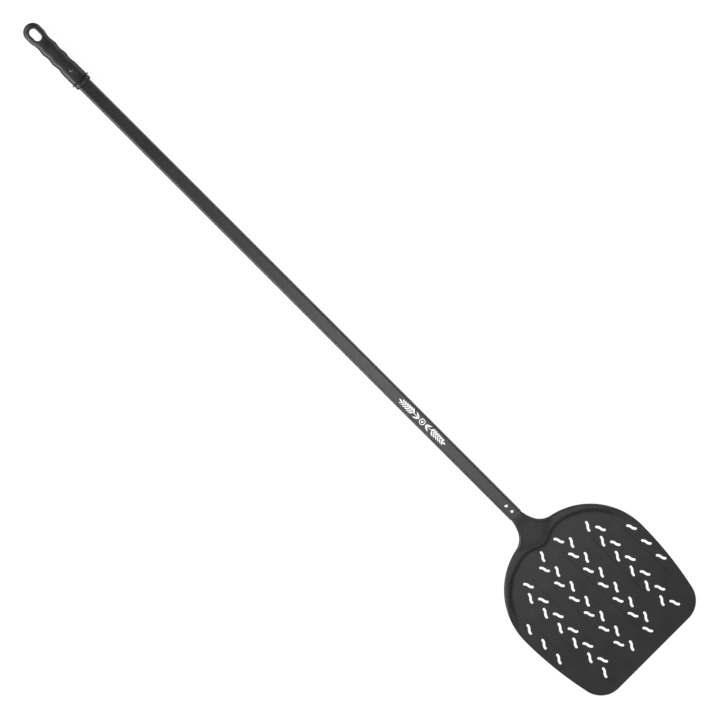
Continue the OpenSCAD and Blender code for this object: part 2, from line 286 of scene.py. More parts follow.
def inside(points, loop):
    """Which points lie inside a closed loop."""
    x, y = points[:, 0][:, None], points[:, 1][:, None]
    x0, y0 = loop[:, 0], loop[:, 1]
    x1, y1 = np.roll(x0, -1), np.roll(y0, -1)
    straddles = (y0 > y) != (y1 > y)
    rise = np.where(y1 == y0, 1e-9, y1 - y0)
    return (np.sum(straddles & (x < (x1 - x0) * (y - y0) / rise + x0), axis=1) % 2) == 1


def distance_to(points, line):
    """Distance from each point to an open line."""
    a, b = line[:-1], line[1:]
    along = b - a
    t = np.sum((points[:, None] - a) * along, axis=2) / np.sum(along * along, axis=1)
    nearest = a + along * share(t)[..., None]
    return np.min(np.linalg.norm(points[:, None] - nearest, axis=2), axis=1)


def gap_to(points, others):
    """Distance from each point to the nearest of some others."""
    tree = KDTree(len(others))
    for k, (x, y) in enumerate(others):
        tree.insert((x, y, 0), k)
    tree.balance()
    return np.array([tree.find((x, y, 0))[2] for x, y in points])


def rise_from_plate(points):
    """How far up from the plate to the raised part each point is, from 0 to 1."""
    half = fold_line()
    whole = np.vstack([mirrored(half), half[1:]])
    front = np.array([[0.0, half[-1][1]], [0.0, -half[-1][1]]])
    distance = distance_to(points, whole)
    signed = np.where(inside(points, np.vstack([whole, front])), -distance, distance)
    return smooth((signed + FOOT_W) / (RISE_W + FOOT_W))


def crown(points):
    """Height of the raised part: inside the tube, up flush with it, and then down to the rim."""
    past = points[:, 0] + SEAM_BACK
    step = mix(TONGUE_Z, TUBE_TOP, smooth(past / STEP_L))
    spread = np.sqrt(1 + (points[:, 1] / DOME_Y) ** 2)
    return np.where(past < STEP_L, step, mix(TUBE_TOP, CREST_Z, ease((past - STEP_L) * spread / NECK_RUN)))


def rib_lift(points):
    """Height that the ribs add to the plate."""
    lift = np.zeros(len(points))
    for k in range(-2, 3):
        back, front = RIB_SPANS[abs(k)]
        off = np.abs(points[:, 1] - PATTERN_Y - k * RIB_PITCH) - RIB_TOP / 2
        across = smooth(1 - off / RIB_FLANK)
        run_in = smooth((points[:, 0] + back) / RIB_RUN)
        run_out = smooth((-front - points[:, 0]) / RIB_RUN)
        lift += RIB_H * across * run_in * run_out
    return lift


def blade_height(points):
    """Height of the upper surface over each point of the plan."""
    a = np.degrees(np.arctan2(np.abs(points[:, 1]) - shoulder_c[1], points[:, 0] - shoulder_c[0])) % 360
    lift = smooth((a - RIM_END_A) / RIM_FADE_A)
    raised = (crown(points) - SHEET_T) * lift * rise_from_plate(points)
    return SHEET_T + raised + rib_lift(points)


def bevel_depth(points):
    """How much the thinned strip takes off behind the front edge."""
    ends = smooth((BEVEL_HALF_W - np.abs(points[:, 1])) / 3)
    return BEVEL_DEPTH * share(1 + points[:, 0] / BEVEL_L) * ends


# ---- The blade's slots

def column_y(c):
    return RIB_PITCH * (c // 2 + 0.5) + RIB_PITCH / 8 * (-1 if c % 2 == 0 else 1)


def slot_side(tool, t, a):
    """A point beside a slot's middle line, a share t along it and at an angle from its direction."""
    run = SLOT_L - SLOT_W
    phase = 2 * math.pi * (t - 0.5)
    centre = np.array([run * (t - 0.5), -WAVE_H * math.sin(phase)])
    slope = math.degrees(math.atan2(-WAVE_H * 2 * math.pi * math.cos(phase), run))
    return centre + tool * turn(slope + a)


def slot_loop(tool, steps=12):
    """The outline of a slot cut by a tool of this radius, round its own middle."""
    upper = [slot_side(tool, k / steps, 90) for k in range(steps, -1, -1)]
    tail = [slot_side(tool, 0, a) for a in range(105, 256, 15)]
    lower = [slot_side(tool, k / steps, -90) for k in range(steps + 1)]
    nose = [slot_side(tool, 1, a) for a in range(-75, 76, 15)]
    return np.array(upper + tail + lower + nose)


def slot_places():
    """The middle and the tilt of every slot."""
    places = []
    for c, (first, count, lean) in enumerate(SLOT_COLUMNS):
        for side in (1, -1):
            for k in range(count):
                x = (first / 2 + k) * SLOT_PITCH - SLOT_BACK
                y = PATTERN_Y + side * column_y(c)
                places.append((np.array([x, y]), side * lean * SLOT_TILT))
    return places


def placed(loop, middle, tilt):
    along, across = turn(tilt), turn(tilt + 90)
    return middle + loop[:, :1] * along + loop[:, 1:] * across


def circle(middle, r, n):
    return np.array([middle + r * turn(360 * k / n) for k in range(n)])


# ---- The blade's sheet

def lip(spoke, bend_n=8, edge_n=3):
    """Points of a spoke's turned-down lip, from the flat to the edge, as plan offsets and drops."""
    inner, outer, past, lift = spoke
    out = (outer - inner) / np.linalg.norm(outer - inner)
    a = math.radians(mix(90, RIM_BEND_A, smooth(past)) * lift)
    start = outer - out * (BEND_R * math.sin(a) + LIP_EDGE * math.cos(a))
    turns = [a * k / bend_n for k in range(bend_n + 1)]
    rows = [(BEND_R * math.sin(b), BEND_R * (1 - math.cos(b))) for b in turns]
    far, drop = rows[-1]
    for k in range(1, edge_n + 1):
        run = (LIP_EDGE - EDGE_R) * k / edge_n
        rows.append((far + run * math.cos(a), drop + run * math.sin(a)))
    return start, out, rows


def front_outline():
    """The rest of the blade's outline, from the end of the rim to the middle of the front edge."""
    arc = [shoulder_c + (SHOULDER_R - EDGE_R) * turn(mix(RIM_END_A, 90, k / 16)) for k in range(1, 17)]
    side = [side_c + (SIDE_R - EDGE_R) * turn(mix(90, corner_a, k / 44)) for k in range(1, 45)]
    corner = [corner_c + (CORNER_R - EDGE_R) * turn(mix(corner_a, 0, k / 40)) for k in range(1, 41)]
    edge_n = 36
    straight = [np.array([-EDGE_R, corner_c[1] * (1 - k / edge_n)]) for k in range(1, edge_n)]
    return arc + side + corner + straight + [np.array([-EDGE_R, 0.0])]


def plan_grid(keep_off):
    """Points over the flat plate, closer together across the ribs' flanks and behind the front edge."""
    ys = []
    for k in range(-3, 4):
        middle = PATTERN_Y + k * RIB_PITCH
        flank = [RIB_TOP / 2 + RIB_FLANK * f for f in (0, 0.2, 0.4, 0.6, 0.8, 1)]
        on_rib = [RIB_STEP * f for f in range(3)]
        between_ribs = [RIB_TOP / 2 + RIB_FLANK + GAP_STEP * f for f in range(1, 7)]
        ys += [middle + side * y for side in (1, -1) for y in flank + on_rib + between_ribs]
    ys = sorted(set(round(float(y), 3) for y in ys))
    xs = [-GRID_BACK + GRID_STEP * k for k in range(97)] + FRONT_ROWS
    points = [[x, y] for x in xs for y in ys]
    points += [[x, side * y] for x in range(-10, 0, 2) for y in STRIP_END_ROWS for side in (1, -1)]
    points = np.array(points)
    return points[gap_to(points, keep_off) > RING_FAR]


def blade_outline(spokes):
    """The blade's outline as one loop, with the spokes' lips left off."""
    last_start, last_out, last_rows = lip(spokes[-1])
    run_out = [last_start + last_out * r for r, _ in last_rows[1:]]
    half = [lip(s)[0] for s in spokes] + run_out + front_outline()
    other = [p * MIRROR for p in half[-2::-1]]
    tongue_x, tongue_y = half[0]
    back = [np.array([tongue_x, y]) for y in np.linspace(-tongue_y, tongue_y, 8)[1:-1]]
    return np.array(half + other + back)


def blade_holes():
    """The outlines of the slots and the rivets' holes, and points outside and inside the slots' edges."""
    loops, rings, cores = [], [], []
    for middle, tilt in slot_places():
        loops.append(placed(slot_loop(SLOT_W / 2 + EDGE_R), middle, tilt))
        rings.append(placed(slot_loop(SLOT_W / 2 + EDGE_R + RING_NEAR), middle, tilt))
        rings.append(placed(slot_loop(SLOT_W / 2 + RING_FAR), middle, tilt)[::2])
        cores.append(placed(slot_loop(SLOT_W / 2 - CORE_INSET), middle, tilt))
    for node in RIVETS:
        loops.append(circle(np.array([middle_x(node) - FRONT_X, 0.0]), RIVET_HOLE_R + EDGE_R, 32))
    return loops, np.vstack(rings), np.vstack(cores)


def raised_rows(spokes, keep_off):
    """Points along the spokes, and in lines beside the fold at the foot of the raised part."""
    rows = []
    for s in spokes:
        start = lip(s)[0]
        for k in range(SPOKE_ROWS):
            p = mix(s[0], start, (k / SPOKE_ROWS) ** 1.25)
            rows += [p, p * MIRROR]
    half_fold = fold_line(60)
    across = np.gradient(half_fold, axis=0)
    normal = np.stack([across[:, 1], -across[:, 0]], axis=1) / np.linalg.norm(across, axis=1)[:, None]
    for inset in FOLD_INSETS:
        line = (half_fold + normal * inset)[::1 if inset < 3 else 2]
        beside = [p for p in line if p[1] > 0.4]
        rows += beside + [p * MIRROR for p in beside]
    rows = np.array(rows)
    return rows[gap_to(rows, keep_off) > ROW_GAP]


def triangulated(points, loops):
    """Triangles inside the first loop and outside the others, and the place of each given point."""
    edges = []
    loop_of = []
    for k, loop in enumerate(loops):
        base, n = len(loop_of), len(loop)
        edges += [(base + j, base + (j + 1) % n) for j in range(n)]
        loop_of += [k] * n
    verts, _, faces, sources, _, _ = delaunay_2d_cdt([Vector(p) for p in points], edges, [], 1, 1e-5)
    where = {i: out for out, ids in enumerate(sources) for i in ids}
    exact = np.array([points[ids[0]] if ids else verts[k] for k, ids in enumerate(sources)])
    hole_of = np.zeros(len(verts), int)
    for i, h in enumerate(loop_of):
        hole_of[where[i]] = h
    kept = []
    for f in faces:
        h = hole_of[f[0]]
        on_one_hole = h and hole_of[f[1]] == h and hole_of[f[2]] == h
        if not (on_one_hole and inside(exact[f].mean(axis=0)[None], loops[h])[0]):
            kept.append(tuple(f))
    return exact, kept, where


def blade_plan():
    """The blade's upper surface as a flat triangulation, with the spokes' lips left off."""
    spokes = blade_spokes()
    outline = blade_outline(spokes)
    holes, rings, cores = blade_holes()
    loops = [outline] + holes
    edges_at = np.vstack(loops)
    rows = raised_rows(spokes, edges_at)
    grid = plan_grid(np.vstack([edges_at, rows, rings, cores]))
    points = np.vstack(loops + [q[inside(q, outline)] for q in (rows, rings, grid)])
    exact, faces, where = triangulated(points, loops)
    return exact, faces, spokes, where


def lip_mesh(points, faces, spokes, first_ids, side):
    """Adds the turned-down lips along one side to the blade's upper surface."""
    previous = None
    for spoke, first in zip(spokes, first_ids):
        start, out, rows = lip(spoke)
        z = points[first][2]
        ids = [first]
        for reach, drop in rows[1:]:
            p = start + out * reach
            ids.append(len(points))
            points.append(np.array([p[0], side * p[1], z - drop]))
        if previous:
            for j in range(len(ids) - 1):
                quad = [previous[j], previous[j + 1], ids[j + 1], ids[j]]
                faces.append(tuple(quad if side < 0 else quad[::-1]))
        previous = ids
    return previous


def face_normals(points, faces):
    """A unit normal at each point, weighted by the area of the faces round it."""
    total = np.zeros_like(points)
    for f in faces:
        for k in range(1, len(f) - 1):
            ids = [f[0], f[k], f[k + 1]]
            a, b, c = points[ids]
            total[ids] += np.cross(b - a, c - a)
    return total / np.maximum(np.linalg.norm(total, axis=1), 1e-12)[:, None]


def thick_sheet(top, under, faces):
    """A closed sheet from its upper surface and the points under it, with rounded edges on every rim."""
    normals = face_normals(top, faces)
    used = {}
    for f in faces:
        for a, b in zip(f, f[1:] + f[:1]):
            used[(a, b)] = True
    rim = [(a, b) for a, b in used if (b, a) not in used]
    outward = {}
    for a, b in rim:
        across = np.cross(top[b] - top[a], normals[a])
        for i in (a, b):
            outward[i] = outward.get(i, 0) + across / np.linalg.norm(across)
    count = len(top)
    points = list(top) + list(under)
    solid = [tuple(f) for f in faces] + [tuple(i + count for i in reversed(f)) for f in faces]
    rings = {}
    for i, across in outward.items():
        across = across / np.linalg.norm(across)
        down = under[i] - top[i]
        r = min(EDGE_R / np.linalg.norm(down), 0.45)
        rings[i] = [i]
        for f, g in ((0.293 * r, 0.707), (r, 1), (1 - r, 1), (1 - 0.293 * r, 0.707)):
            rings[i].append(len(points))
            points.append(top[i] + down * f + across * g * EDGE_R)
        rings[i].append(i + count)
    for a, b in rim:
        for k in range(len(rings[a]) - 1):
            solid.append((rings[b][k], rings[a][k], rings[a][k + 1], rings[b][k + 1]))
    return points, solid


def blade(material):
    """The whole sheet: its plan lifted to its height, the lips turned down, and thickness below."""
    plan, faces, spokes, where = blade_plan()
    heights = blade_height(plan)
    points = [np.array([p[0], p[1], z]) for p, z in zip(plan, heights)]
    lip_n = len(spokes)
    half_n = lip_n + len(lip(spokes[-1])[2]) - 1 + len(front_outline())
    right = [where[i] for i in range(lip_n)]
    left = [where[2 * half_n - 2 - i] for i in range(lip_n)]
    lip_mesh(points, faces, spokes, right, 1)
    lip_mesh(points, faces, spokes, left, -1)
    top, faces = welded(np.array(points), faces)
    normals = face_normals(top, faces)
    normals[top[:, 0] < STEP_L + 0.5 - SEAM_BACK, 0] = 0
    flat = (top[:, 2] <= SHEET_T + RIB_H + 1e-6) & (rise_from_plate(top[:, :2]) == 0)
    normals[flat] = [0, 0, 1]
    under = top - SHEET_T * normals / np.linalg.norm(normals, axis=1)[:, None]
    top[:, 2] -= bevel_depth(top[:, :2])
    points, solid = thick_sheet(top, under, faces)
    return mesh_piece("blade_sheet", np.array(points) + [FRONT_X, 0, 0], solid, material, "blade_metal", 50)


def welded(points, faces):
    """Points that share a place become one."""
    keys = {}
    ids = [keys.setdefault(tuple(np.round(p, 3)), k) for k, p in enumerate(points)]
    kept = sorted({ids[i] for f in faces for i in f})
    new = {old: k for k, old in enumerate(kept)}
    merged = []
    for f in faces:
        loop = [new[ids[i]] for i in f]
        loop = [i for k, i in enumerate(loop) if i != loop[k - 1]]
        if len(loop) > 2:
            merged.append(tuple(loop))
    return points[kept], merged


# ---- Lofts, turned shapes and cuts

def loft(rings, closed_chain=False):
    """Quads between rings that all have the same number of points."""
    n = len(rings[0])
    faces = []
    pairs = len(rings) if closed_chain else len(rings) - 1
    for i in range(pairs):
        a, b = i * n, (i + 1) % len(rings) * n
        faces += [(a + k, a + (k + 1) % n, b + (k + 1) % n, b + k) for k in range(n)]
    return np.vstack(rings), faces


def lathe(profile, centre, n=64):
    """A turned solid about a vertical axis, from (radius, height) points that start and end on the axis."""
    middle = profile[1:-1]
    spokes = [turn(360 * k / n) for k in range(n)]
    rings = [np.array([[r * x, r * y, z] for x, y in spokes]) for r, z in middle]
    points, faces = loft(rings)
    low, high = len(points), len(points) + 1
    last = (len(middle) - 1) * n
    faces += [(low, (k + 1) % n, k) for k in range(n)]
    faces += [(high, last + k, last + (k + 1) % n) for k in range(n)]
    points = np.vstack([points, [0, 0, profile[0][1]], [0, 0, profile[-1][1]]])
    return points + np.array([centre[0], centre[1], 0]), faces


def cut(piece, points, faces):
    """Takes a closed shape out of a piece."""
    mesh = bpy.data.meshes.new("cutter")
    mesh.from_pydata((np.asarray(points) * MM).tolist(), [], faces)
    work = bmesh.new()
    work.from_mesh(mesh)
    bmesh.ops.recalc_face_normals(work, faces=work.faces)
    work.to_mesh(mesh)
    work.free()
    cutter = bpy.data.objects.new("cutter", mesh)
    bpy.context.scene.collection.objects.link(cutter)
    change = piece.modifiers.new("cut", "BOOLEAN")
    change.operation = "DIFFERENCE"
    change.solver = "EXACT"
    change.object = cutter
    seen = piece.evaluated_get(bpy.context.evaluated_depsgraph_get())
    result = bpy.data.meshes.new_from_object(seen)
    piece.modifiers.remove(change)
    piece.data = result
    bpy.data.objects.remove(cutter)
    result.shade_smooth()
    result.set_sharp_from_angle(angle=math.radians(40))


def post(x, r, low, high):
    """A plain round cutter, standing at x on the centre line."""
    return lathe([(0, low), (r, low), (r, high), (0, high)], (x, 0))


def rounding(r, n=4):
    """Distances from the end and insets of a rounded edge, from the side to the end face."""
    turns = [math.pi / 2 * k / n for k in range(n + 1)]
    return [(r * (1 - math.sin(a)), r * (1 - math.cos(a))) for a in turns]


# ---- Handle tube

TUBE_R = 6.0
CUT_EDGE = 0.5
END_RING = 1.5

# Heights clear of the peel, for cutters

CLEAR_BELOW = -5
CLEAR_ABOVE = 40


def rounded_section(half_w, half_h, r, inset=0.0, n=14):
    """A rounded rectangle about the tube's axis, as (y, z) points, with a few points on each flat."""
    flat_y, flat_z = half_w - r, half_h - r
    loop = []
    for sy, sz, from_a, run in ((1, 1, 0, (-2 * flat_y, 0)), (-1, 1, 90, (0, -2 * flat_z)),
                                (-1, -1, 180, (2 * flat_y, 0)), (1, -1, 270, (0, 2 * flat_z))):
        middle = np.array([sy * flat_y, sz * flat_z])
        loop += [middle + (r - inset) * turn(from_a + 90 * k / n) for k in range(n + 1)]
        corner_end = loop[-1]
        loop += [corner_end + np.array(run) * f for f in (0.03, 0.35, 0.65, 0.97)]
    return np.array(loop)


def section_ring(x, loop):
    """A section's points, at x along the peel."""
    return np.array([[x, y, AXIS_Z + z] for y, z in loop])


def handle_tube(material):
    outside = (TUBE_HALF_W, TUBE_HALF_H, TUBE_R)
    bore = (TUBE_HALF_W - TUBE_WALL, TUBE_HALF_H - TUBE_WALL, TUBE_R - TUBE_WALL)
    start, end = tube_lo[0], tube_hi[0]
    edge = rounding(CUT_EDGE, 4)
    rings = [section_ring(start + gap, rounded_section(*outside, inset)) for gap, inset in edge[::-1]]
    stations = [start + END_RING, *np.linspace(start, end, 14)[1:-1], end - END_RING]
    rings += [section_ring(x, rounded_section(*outside)) for x in stations]
    rings += [section_ring(end - gap, rounded_section(*outside, inset)) for gap, inset in edge]
    rings += [section_ring(x, rounded_section(*bore)) for x in (end, start)]
    points, faces = loft(rings, closed_chain=True)
    tube = mesh_piece("flat_tube", points, faces, material, "tube_metal", 50)
    for node in RIVETS:
        cut(tube, *post(middle_x(node), RIVET_HOLE_R, CLEAR_BELOW, CLEAR_ABOVE))
    cut(tube, *post(SCREW_X, RIVET_HOLE_R, AXIS_Z, CLEAR_ABOVE))
    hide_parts("handle_tube")
    return tube


# ---- Rivets and screw

RIVET_RIM = 0.35
RIVET_BEVEL = 0.12
SHANK_R = 2.0
SHANK_CHAMFER = 0.3
HEAD_BEVEL = 0.15
HEAD_SIDE = 1.1
CROSS_HALF_L = 2.1
CROSS_HALF_W = 0.5
CROSS_DEPTH = 1.3
CROSS_BOTTOM = 0.45


def rivet_head(base, up, r, h, n=10):
    """Half of a rivet's profile: from the shank out under the head and over its dome to the axis."""
    rise = h - RIVET_RIM
    dome = [(r * math.cos(a), RIVET_RIM + rise * math.sin(a)) for a in np.linspace(0, math.pi / 2, n)]
    profile = [(r - RIVET_BEVEL, 0.0), (r, RIVET_BEVEL)] + dome
    return [(max(x, 0.0), base + up * z) for x, z in profile]


def rivet(name, node, material):
    lo, hi = box_mm(node)
    head_r = (hi[1] - lo[1]) / 2
    head_h = hi[2] - TUBE_TOP
    shank_r = RIVET_HOLE_R - FIT_GAP / 2
    top = rivet_head(TUBE_TOP, 1, head_r, head_h)
    bottom = rivet_head(tube_lo[2], -1, head_r, head_h)
    profile = bottom[::-1] + [(shank_r, tube_lo[2]), (shank_r, TUBE_TOP)] + top
    piece = mesh_piece(name, *lathe(profile, (middle_x(node), 0)), material, "rivet_metal", 60)
    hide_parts(node)
    return piece


def cross_cutter(half_l, half_w, low, high):
    """A cross recess that narrows towards its bottom."""
    plus = [(half_l, half_w), (half_w, half_w), (half_w, half_l)]
    loop = []
    for quarter in range(4):
        along, across = turn(90 * quarter), turn(90 * quarter + 90)
        loop += [x * along + y * across for x, y in plus]
    rings = []
    for z, size in ((low, CROSS_BOTTOM), (high, 1.0)):
        rings.append(np.array([[size * x + SCREW_X, size * y, z] for x, y in loop]))
    points, faces = loft(rings)
    n = len(loop)
    return points, faces + [tuple(range(n))[::-1], tuple(range(n, 2 * n))]


def grip_screw(material):
    lo, hi = screw_lo, screw_hi
    head_r = (hi[1] - lo[1]) / 2
    seat = seat_z()
    dome_z = seat + HEAD_SIDE
    dome_h = hi[2] - seat - HEAD_SIDE
    profile = [(0, lo[2]), (SHANK_R - SHANK_CHAMFER, lo[2]), (SHANK_R, lo[2] + SHANK_CHAMFER)]
    profile += [(SHANK_R, seat), (head_r - HEAD_BEVEL, seat), (head_r, seat + HEAD_BEVEL)]
    quarter = np.linspace(0, math.pi / 2, 9)
    profile += [(head_r * math.cos(a), dome_z + dome_h * math.sin(a)) for a in quarter]
    profile[-1] = (0, hi[2])
    piece = mesh_piece("grip_fixing_screw", *lathe(profile, (SCREW_X, 0)), material, "screw_metal", 50)
    cut(piece, *cross_cutter(CROSS_HALF_L, CROSS_HALF_W, hi[2] - CROSS_DEPTH, hi[2] + 0.4))
    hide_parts("grip_screw")
    return piece


# ---- Grip. d counts from the end with the hanging hole, and heights from the tube's axis.

EYE_L = 32
EYE_R = 8.75
EYE_RIM = 13
EYE_FILLET = 3.2
EYE_HALF_W = 21
EYE_HALF_H = 9
BODY_HALF_W = 19.6
BODY_HALF_H = 12
EYE_END = 52
WAVE_FROM = 51
WAVE_TO = 133
FINGER_PITCH = 31
FINGER_DEPTH = 1.8
END_ROUND = 21
NARROW_FROM = 33
SWELL_FROM = 36
SWELL_L = 30
SQUARENESS = 2.5
SEAT_DEPTH = 0.9
SEAT_R = 4
POCKET_START = 62
BODY_STEP = 1.5
FLANGE = [
    (165.0, 19.6, 12.0), (165.7, 19.9, 12.2), (166.2, 21.0, 13.0), (166.6, 22.6, 14.0), (167.0, 23.5, 14.5),
    (167.8, 23.5, 14.5), (168.2, 22.6, 14.0), (168.5, 21.0, 13.0), (168.7, 19.3, 11.7), (168.9, 18.6, 11.0),
    (169.7, 18.6, 11.0), (170.0, 19.0, 11.4), (170.4, 19.5, 11.9), (171.0, 19.6, 12.0), (177.6, 19.6, 12.0),
    (178.4, 19.4, 11.8), (179.2, 18.8, 11.2), (179.7, 18.2, 10.6), (180.0, 17.8, 10.2),
]


def seat_z():
    return AXIS_Z + BODY_HALF_H - SEAT_DEPTH


def finger_w(d):
    return BODY_HALF_W - FINGER_DEPTH / 2 * (1 - math.cos(2 * math.pi * (d - WAVE_TO) / FINGER_PITCH))


def grip_half_w(d):
    """Half width along the grip, with its round end left out."""
    if d < WAVE_FROM:
        narrowing = float(smooth((d - NARROW_FROM) / (WAVE_FROM - NARROW_FROM)))
        return mix(EYE_HALF_W, finger_w(WAVE_FROM), narrowing)
    return finger_w(d) if d < WAVE_TO else BODY_HALF_W


def grip_half_h(d):
    return mix(EYE_HALF_H, BODY_HALF_H, float(smooth((d - SWELL_FROM) / SWELL_L)))


def grip_reach(d, y):
    """0 on the middle line and 1 on the outline, which is an ellipse at the end."""
    back = max(0.0, END_ROUND - d) / END_ROUND
    return math.hypot(back, y / grip_half_w(max(d, END_ROUND)))


def grip_height(d, y):
    reach = min(grip_reach(d, y), 1.0)
    return grip_half_h(d) * (1 - reach ** SQUARENESS) ** (1 / SQUARENESS)


def bulge(v):
    return math.copysign(abs(v) ** (2 / SQUARENESS), v)


def crossing(start, direction, stays_inside):
    """Where a ray leaves a region."""
    near, far = 0.0, 80.0
    for _ in range(40):
        middle = (near + far) / 2
        if stays_inside(*(start + direction * middle)):
            near = middle
        else:
            far = middle
    return start + direction * near


def half_ring_angles(n=24):
    return [180 * k / (2 * n) for k in range(2 * n + 1)]


def eye_spokes():
    """Rays from the hanging hole's edge out to the outline, or to where the grip's body begins."""
    near_c = np.array([EYE_RIM + EYE_R, 0.0])
    far_c = np.array([EYE_RIM + EYE_L - EYE_R, 0.0])
    spokes = []
    for side in (1, -1):
        corner_y = grip_half_w(EYE_END)
        corner = math.degrees(math.atan2(corner_y, EYE_END - far_c[0]))
        fan = [(far_c, a) for a in np.linspace(corner, 90, 17)]
        flank = [(mix(far_c, near_c, k / 14), 90.0) for k in range(1, 14)]
        cap = [(near_c, a) for a in np.linspace(90, 180, 33)]
        half = fan + flank + cap
        if side > 0:
            spokes += half
        else:
            spokes += [(c, -a) for c, a in half[-2::-1]]
    half_w = grip_half_w(EYE_END)
    section = [np.array([EYE_END, half_w * bulge(math.cos(math.radians(a)))]) for a in half_ring_angles()]
    across = [(far_c, math.degrees(math.atan2(*(p - far_c)[::-1]))) for p in section[-2:0:-1]]
    return spokes, across, section[-2:0:-1]


def eye_rows(start, normal, end, n=22):
    """Points over the grip's top from the bottom of the eye's wall to the outline or the section."""
    edge = start + normal * EYE_FILLET
    edge_z = grip_height(*edge)
    rows = [(start, (edge_z - EYE_FILLET) * f) for f in (0, 0.35, 0.7)]
    for k in range(0, 8):
        a = math.radians(90 * (1 - k / 8))
        sunk = EYE_FILLET * (1 - math.cos(a))
        rows.append((start + normal * EYE_FILLET * (1 - math.sin(a)), edge_z - sunk))
    inner, outer = grip_reach(*edge), grip_reach(*end)
    if outer > 0.999:
        from_a = math.acos(inner ** (SQUARENESS / 2))
        shares = [(bulge(math.cos(from_a * (1 - k / n))) - inner) / (1 - inner) for k in range(n + 1)]
    else:
        shares = [k / n for k in range(n + 1)]
    for f in shares:
        p = mix(edge, end, f)
        rows.append((p, grip_height(*p)))
    rows[-1] = (end, 0.0 if outer > 0.999 else grip_height(*end))
    return [[p[0], p[1], z] for p, z in rows]


def eye_top():
    """Rows of points over the grip's top, all the way round the hanging hole."""
    outline, across, section = eye_spokes()
    rows = []
    for centre, a in outline:
        normal = turn(a)
        start = centre + normal * EYE_R
        end = crossing(start, normal, lambda d, y: grip_reach(d, y) < 1)
        if abs(end[0] - EYE_END) < 0.01:
            end[0] = EYE_END
        rows.append(eye_rows(start, normal, end))
    for (centre, a), end in zip(across, section):
        normal = turn(a)
        rows.append(eye_rows(centre + normal * EYE_R, normal, end))
    return rows


def body_rings():
    """Half rings over the grip's body, from the eye to the open end."""
    along = np.arange(EYE_END, FLANGE[0][0] - 0.5, BODY_STEP)
    rings = []
    for d, w, h in [(d, grip_half_w(d), grip_half_h(d)) for d in along] + FLANGE:
        ring = []
        for a in half_ring_angles():
            c, s = math.cos(math.radians(a)), math.sin(math.radians(a))
            ring.append([d, w * bulge(c), h * bulge(max(s, 0.0))])
        rings.append(ring)
    return rings


def pocket_rings(mouth):
    """Half rings along the pocket that holds the tube, in line with the points round the grip's mouth."""
    half_w, half_h, r = TUBE_HALF_W + FIT_GAP, TUBE_HALF_H + FIT_GAP, TUBE_R + FIT_GAP
    rings = []
    for d in (GRIP_L, POCKET_START):
        ring = []
        for j, edge in enumerate(mouth):
            direction = np.array([edge[1], edge[2]]) / math.hypot(edge[1], edge[2])
            hit = crossing(np.zeros(2), direction, lambda y, z: in_rounded(y, z, half_w, half_h, r))
            ring.append([d, hit[0], max(hit[1], 0.0) if 0 < j < len(mouth) - 1 else 0.0])
        rings.append(ring)
    return rings


def strips(rows, base=0, closed=False):
    """Quads between rows that have the same number of points and follow each other from a base."""
    n = len(rows[0])
    faces = []
    for i in range(len(rows) if closed else len(rows) - 1):
        a, b = base + i * n, base + (i + 1) % len(rows) * n
        faces += [(a + j, b + j, b + j + 1, a + j + 1) for j in range(n - 1)]
    return faces


def grip_skin():
    """The grip's upper half, from the hanging hole to the bottom of the tube's pocket."""
    eye = eye_top()
    body = body_rings()
    rings = body + pocket_rings(body[-1])
    points = [p for row in eye for p in row]
    base, ring_n = len(points), len(body[0])
    points += [p for ring in rings for p in ring] + [[POCKET_START, 0.0, 0.0]]
    faces = strips(eye, closed=True) + strips(rings, base)
    middle = len(points) - 1
    bottom = middle - ring_n
    faces += [(bottom + j, middle, bottom + j + 1) for j in range(ring_n - 1)]
    return np.array(points), faces


def in_rounded(y, z, half_w, half_h, r):
    """Whether a point lies in a rounded rectangle."""
    qy, qz = abs(y) - (half_w - r), abs(z) - (half_h - r)
    return math.hypot(max(qy, 0), max(qz, 0)) + min(max(qy, qz), 0) < r


def grip(material):
    points, faces = grip_skin()
    lower = points * np.array([1, 1, -1])
    n = len(points)
    under = [tuple(i + n for i in reversed(f)) for f in faces]
    whole, faces = welded(np.vstack([points, lower]), faces + under)
    piece = mesh_piece("moulded_grip", whole + [GRIP_END, 0, AXIS_Z], faces, material, "grip_plastic", 40)
    seat = [(0, AXIS_Z), (RIVET_HOLE_R, AXIS_Z), (RIVET_HOLE_R, seat_z())]
    seat += [(SEAT_R, seat_z()), (SEAT_R, CLEAR_ABOVE), (0, CLEAR_ABOVE)]
    cut(piece, *lathe(seat, (SCREW_X, 0)))
    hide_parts("grip")
    return piece


# ---- Printed ornament on the tube: two ears of grain on either side of a ring

PRINT_X = 253
PRINT_T = 0.05
PRINT_SINK = 0.02
RING_R = 7.0
RING_W = 1.4
DOT_R = 2.4
STEM_FROM, STEM_TO = 10.0, 61.0
LEAF_L = 11.4
LEAF_LEAN = 42
LEAF_PAIRS = 6
LEAF_FROM = 26
LEAF_PITCH = 6.2
LEAF_TAPER = 0.6
LEAF_W = 2.9
LEAF_STAGGER = 2.4


def leaf(base, angle, length, width, n=9):
    """A leaf's outline, pointed at both ends."""
    along_leaf, over = turn(angle), turn(angle + 90)
    shares = [k / n for k in range(n + 1)]
    belly = lambda f: width / 2 * math.sin(math.pi * f ** 0.85)
    upper = [base + along_leaf * length * f + over * belly(f) for f in shares]
    lower = [base + along_leaf * length * f - over * belly(f) for f in shares[-2:0:-1]]
    return upper + lower


